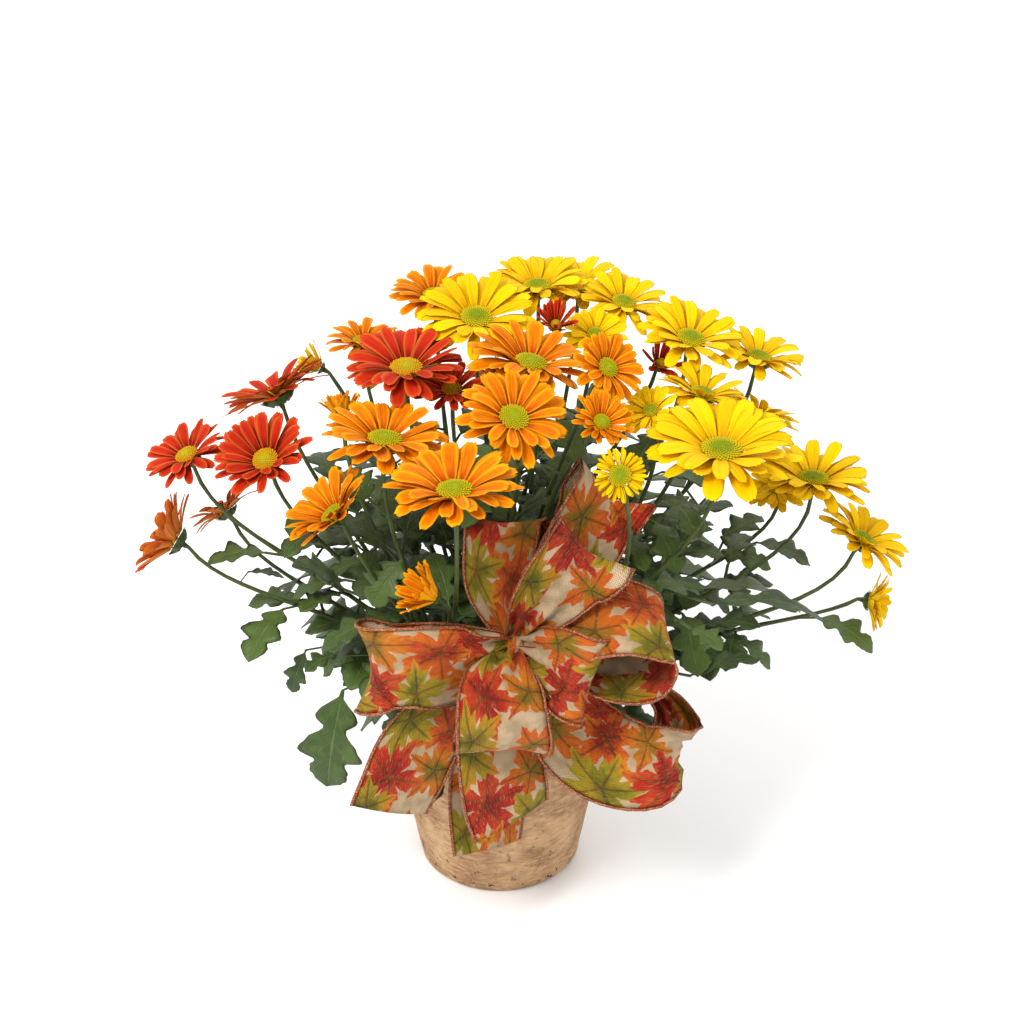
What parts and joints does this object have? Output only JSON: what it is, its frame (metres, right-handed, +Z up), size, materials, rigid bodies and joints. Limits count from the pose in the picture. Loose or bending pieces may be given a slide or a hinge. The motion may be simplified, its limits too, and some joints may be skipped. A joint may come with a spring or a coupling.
{
  "type": "pot chrysanthemum",
  "caption": "Flowering pot chrysanthemum with yellow, orange and red daisy heads on leafy stems, in a tapered fibre pot with a printed wired ribbon bow",
  "frame": {"origin": "the middle of the flat underside of the pot", "axes": "+Z up; -Y toward the side with the bow, which the picture shows; +X along the widest spread of the heads"},
  "size_m": [0.5169, 0.3776, 0.4386],
  "materials": {
    "petal_yellow": "matte",
    "petal_orange": "matte",
    "petal_red": "matte",
    "green_stem": "matte",
    "pot_fibre": "matte",
    "potting_soil": "matte",
    "printed_ribbon": "matte",
    "tie_wire": "matte",
    "pick_wood": "matte"
  },
  "bodies": {
    "root": {"bloom_orange_01": "petal_orange", "bloom_orange_02": "petal_orange", "bloom_orange_03": "petal_orange", "bloom_orange_04": "petal_orange", "bloom_orange_05": "petal_orange", "bloom_orange_06": "petal_orange", "bloom_orange_07": "petal_orange", "bloom_orange_08": "petal_orange", "bloom_orange_09": "petal_orange", "bloom_orange_10": "petal_orange", "bloom_orange_11": "petal_orange", "bloom_orange_12": "petal_orange", "bloom_red_01": "petal_red", "bloom_red_02": "petal_red", "bloom_red_03": "petal_red", "bloom_red_04": "petal_red", "bloom_red_05": "petal_red", "bloom_red_06": "petal_red", "bloom_red_07": "petal_red", "bloom_red_08": "petal_red", "bloom_red_09": "petal_red", "bloom_red_10": "petal_red", "bloom_yellow_01": "petal_yellow", "bloom_yellow_02": "petal_yellow", "bloom_yellow_03": "petal_yellow", "bloom_yellow_04": "petal_yellow", "bloom_yellow_05": "petal_yellow", "bloom_yellow_06": "petal_yellow", "bloom_yellow_07": "petal_yellow", "bloom_yellow_08": "petal_yellow", "bloom_yellow_09": "petal_yellow", "bloom_yellow_10": "petal_yellow", "bloom_yellow_11": "petal_yellow", "bloom_yellow_12": "petal_yellow", "bloom_yellow_13": "petal_yellow", "bloom_yellow_14": "petal_yellow", "bloom_yellow_15": "petal_yellow", "bloom_yellow_16": "petal_yellow", "bloom_yellow_17": "petal_yellow", "bow_pick": "pick_wood", "bow_tie": "tie_wire", "leafy_stem_orange_back": "green_stem", "leafy_stem_orange_front": "green_stem", "leafy_stem_orange_left": "green_stem", "leafy_stem_red_left": "green_stem", "leafy_stem_red_middle": "green_stem", "leafy_stem_yellow_back": "green_stem", "leafy_stem_yellow_front": "green_stem", "leafy_stem_yellow_right": "green_stem", "pot": "pot_fibre", "ribbon_bow": "printed_ribbon", "soil": "potting_soil"}
  },
  "joints": []
}
